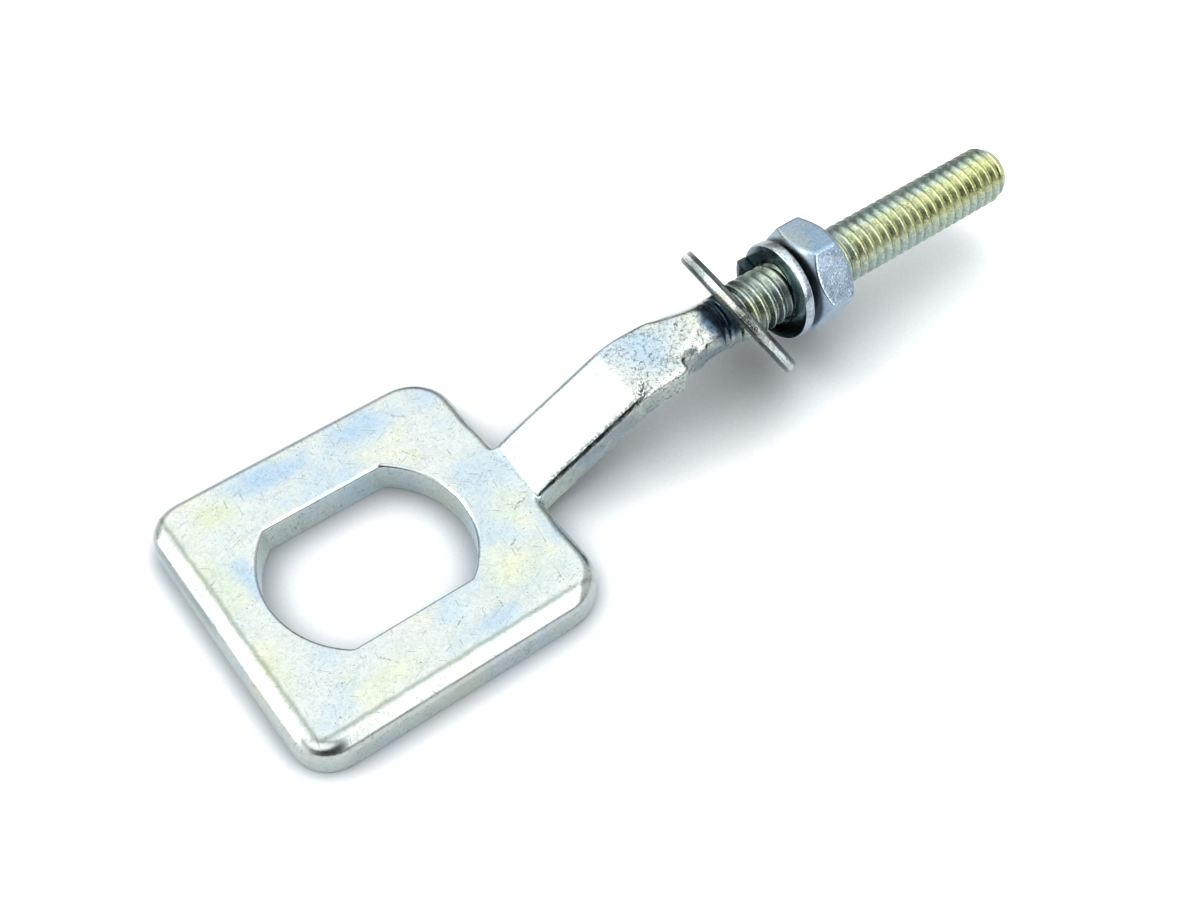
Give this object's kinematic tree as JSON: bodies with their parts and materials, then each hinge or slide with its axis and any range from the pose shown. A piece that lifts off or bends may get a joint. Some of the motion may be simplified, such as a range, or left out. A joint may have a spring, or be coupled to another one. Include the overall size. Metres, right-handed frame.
{
  "type": "motorcycle chain adjuster",
  "caption": "Forged eye plate with a double-D eye, a joggled flat arm and a threaded stud, carrying a loose flat washer, a split spring washer and a hexagon nut.",
  "frame": {"origin": "centre of the eye, on the plate's underside", "axes": "+X along the stud towards its tip, +Z out of the plate's top face on the side the arm rises to, +Y across the plate"},
  "size_m": [0.1196, 0.0408, 0.0192],
  "materials": {
    "zinc_body": "bright zinc plate with faint blue and straw patches, fine specks and scratches",
    "zinc_washer": "zinc plate over a sheared, streaky edge",
    "zinc_spring": "zinc plate, bluish, with a bright rim",
    "zinc_nut": "blue passivated zinc plate with bright chamfers"
  },
  "bodies": {
    "adjuster": {"adjuster_body": "zinc_body"},
    "flat_washer": {"flat_washer": "zinc_washer"},
    "spring_washer": {"spring_washer": "zinc_spring"},
    "nut": {"hex_nut": "zinc_nut"}
  },
  "joints": [
    {"name": "flat_washer_slide", "type": "slide", "parent": "adjuster", "child": "flat_washer", "axis": [1, 0, 0], "range_m": [-0.008, 0]},
    {"name": "nut_travel", "type": "slide", "parent": "adjuster", "child": "spring_washer", "axis": [1, 0, 0], "range_m": [0, 0.029]},
    {"name": "nut_turn", "type": "hinge", "parent": "spring_washer", "child": "nut", "pos_m": [0.0636, 0, 0.0103], "axis": [1, 0, 0], "range_deg": [0, 7200]}
  ],
  "couplings": [
    {"joint": "nut_travel", "follows": "nut_turn", "m_per_rad": 0.0002246}
  ]
}
